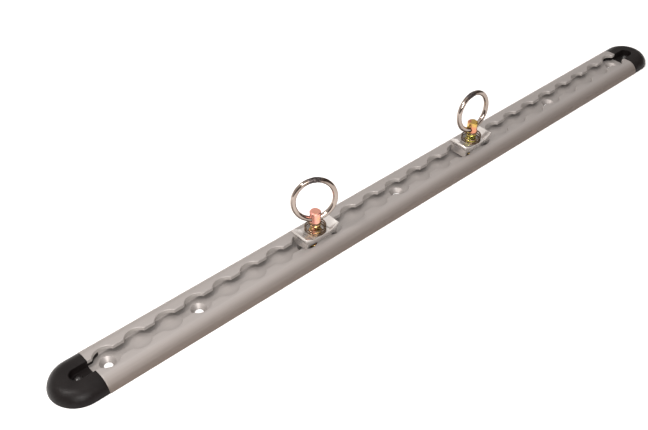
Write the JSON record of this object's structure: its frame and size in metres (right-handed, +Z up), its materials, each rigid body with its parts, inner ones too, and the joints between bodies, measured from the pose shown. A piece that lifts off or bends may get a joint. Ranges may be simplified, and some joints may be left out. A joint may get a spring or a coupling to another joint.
{
  "type": "tie-down track rail",
  "caption": "Low surface-mounted aluminium tie-down track with an undercut slot and round holes, moulded end caps, and sprung locking stud fittings that each carry a swinging ring.",
  "frame": {"origin": "middle of the track's underside, halfway along it", "axes": "+X along the track towards the end with fitting b, +Y across it, +Z up away from the surface it is screwed to"},
  "size_m": [0.6732, 0.0432, 0.0622],
  "materials": {
    "anodised_track": "satin anodised",
    "black_cap": "fine grained matt",
    "black_rivet": "smooth",
    "pink_passivated_stud": "turned, iridescent passivated plating",
    "yellow_passivated_stud": "turned, iridescent passivated plating",
    "plated_plate": "bright plated",
    "nickel_ring": "polished nickel",
    "spring_wire": "bright wire"
  },
  "bodies": {
    "track": {"rail_extrusion": "anodised_track", "end_cap_left": "black_cap", "end_cap_right": "black_cap", "cap_rivet_left": "black_rivet", "cap_rivet_right": "black_rivet"},
    "stud_a": {"stud_a": "pink_passivated_stud", "spring_a": "spring_wire"},
    "plate_a": {"locking_plate_a": "plated_plate"},
    "ring_a": {"ring_a": "nickel_ring"},
    "stud_b": {"stud_b": "yellow_passivated_stud", "spring_b": "spring_wire"},
    "plate_b": {"locking_plate_b": "plated_plate"},
    "ring_b": {"ring_b": "nickel_ring"}
  },
  "joints": [
    {"name": "lift_a", "type": "slide", "parent": "track", "child": "plate_a", "axis": [0, 0, 1], "range_m": [0, 0.0048], "stiffness_N_per_m": 1000, "springref_m": -0.005, "deforming": ["spring_a"]},
    {"name": "swivel_a", "type": "hinge", "parent": "track", "child": "stud_a", "pos_m": [-0.1035, 0, 0.0098], "axis": [0, 0, 1], "continuous": true},
    {"name": "ring_swing_a", "type": "hinge", "parent": "stud_a", "child": "ring_a", "pos_m": [-0.1035, 0, 0.0265], "axis": [0.9135, -0.4067, 0], "range_deg": [-82, 98]},
    {"name": "lift_b", "type": "slide", "parent": "track", "child": "plate_b", "axis": [0, 0, 1], "range_m": [0, 0.0048], "stiffness_N_per_m": 1000, "springref_m": -0.005, "deforming": ["spring_b"]},
    {"name": "swivel_b", "type": "hinge", "parent": "track", "child": "stud_b", "pos_m": [0.0783, 0, 0.0098], "axis": [0, 0, 1], "continuous": true},
    {"name": "ring_swing_b", "type": "hinge", "parent": "stud_b", "child": "ring_b", "pos_m": [0.0783, 0, 0.0265], "axis": [0.9995, -0.0314, 0], "range_deg": [-85, 95]}
  ]
}
